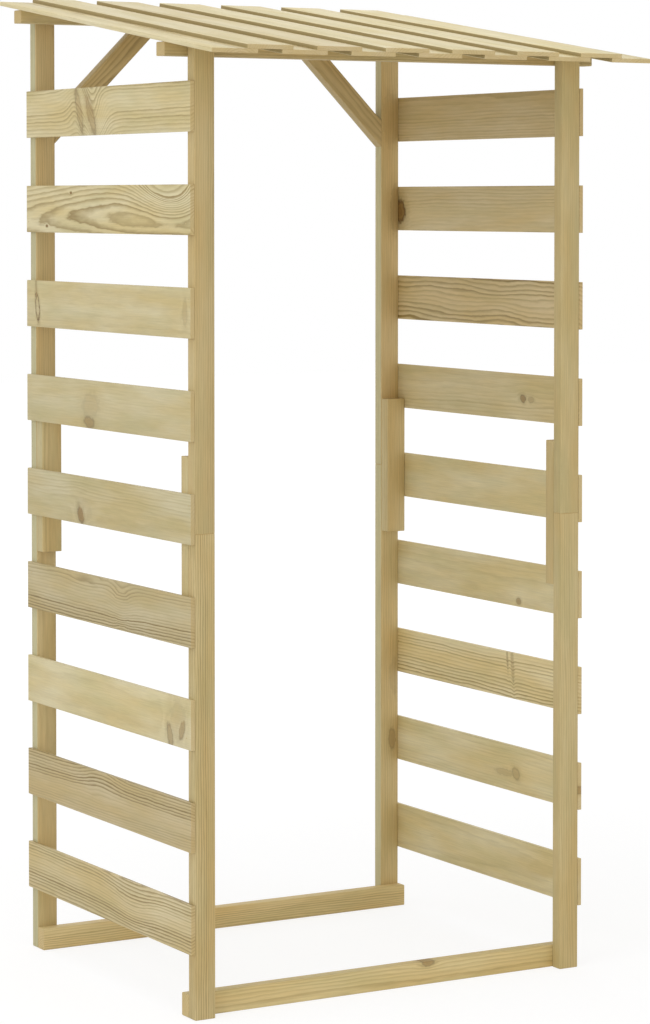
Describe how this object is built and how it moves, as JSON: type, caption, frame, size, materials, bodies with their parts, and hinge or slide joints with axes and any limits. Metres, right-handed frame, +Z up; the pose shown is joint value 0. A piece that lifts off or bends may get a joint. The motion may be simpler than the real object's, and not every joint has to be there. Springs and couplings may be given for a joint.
{
  "type": "slatted firewood store with pent roof",
  "caption": "Free-standing open timber log store: posts, slatted sides, ground rails, rear corner braces and a sloping board-on-board roof.",
  "frame": {"origin": "centre of the store's whole footprint, at ground level", "axes": "+X to the right seen from the low open front, +Y from the low front to the high rear, +Z up"},
  "size_m": [0.998, 0.9454, 2.0006],
  "materials": {
    "frame_timber": "pressure-treated pine battens, planed, pale green-yellow",
    "slat_timber": "pressure-treated pine slats, planed, with knots",
    "roof_timber": "pressure-treated pine boards, planed, pale cream",
    "screw_steel": "yellow-zinc countersunk screw heads"
  },
  "bodies": {
    "root": {"front_left_post_lower": "frame_timber", "front_left_post_upper": "frame_timber", "front_right_post_lower": "frame_timber", "front_right_post_upper": "frame_timber", "rear_left_post_lower": "frame_timber", "rear_left_post_upper": "frame_timber", "rear_right_post_lower": "frame_timber", "rear_right_post_upper": "frame_timber", "splice_blocks": "frame_timber", "front_ground_rail": "frame_timber", "rear_ground_rail": "frame_timber", "front_top_beam": "frame_timber", "rear_top_beam": "frame_timber", "rear_braces": "frame_timber", "left_slat_1": "slat_timber", "left_slat_2": "slat_timber", "left_slat_3": "slat_timber", "left_slat_4": "slat_timber", "left_slat_5": "slat_timber", "left_slat_6": "slat_timber", "left_slat_7": "slat_timber", "left_slat_8": "slat_timber", "left_slat_9": "slat_timber", "right_slat_1": "slat_timber", "right_slat_2": "slat_timber", "right_slat_3": "slat_timber", "right_slat_4": "slat_timber", "right_slat_5": "slat_timber", "right_slat_6": "slat_timber", "right_slat_7": "slat_timber", "right_slat_8": "slat_timber", "right_slat_9": "slat_timber", "roof_board_1": "roof_timber", "roof_board_2": "roof_timber", "roof_board_3": "roof_timber", "roof_board_4": "roof_timber", "roof_board_5": "roof_timber", "roof_board_6": "roof_timber", "roof_board_7": "roof_timber", "roof_cover_board_1": "roof_timber", "roof_cover_board_2": "roof_timber", "roof_cover_board_3": "roof_timber", "roof_cover_board_4": "roof_timber", "roof_cover_board_5": "roof_timber", "roof_cover_board_6": "roof_timber"}
  },
  "joints": []
}
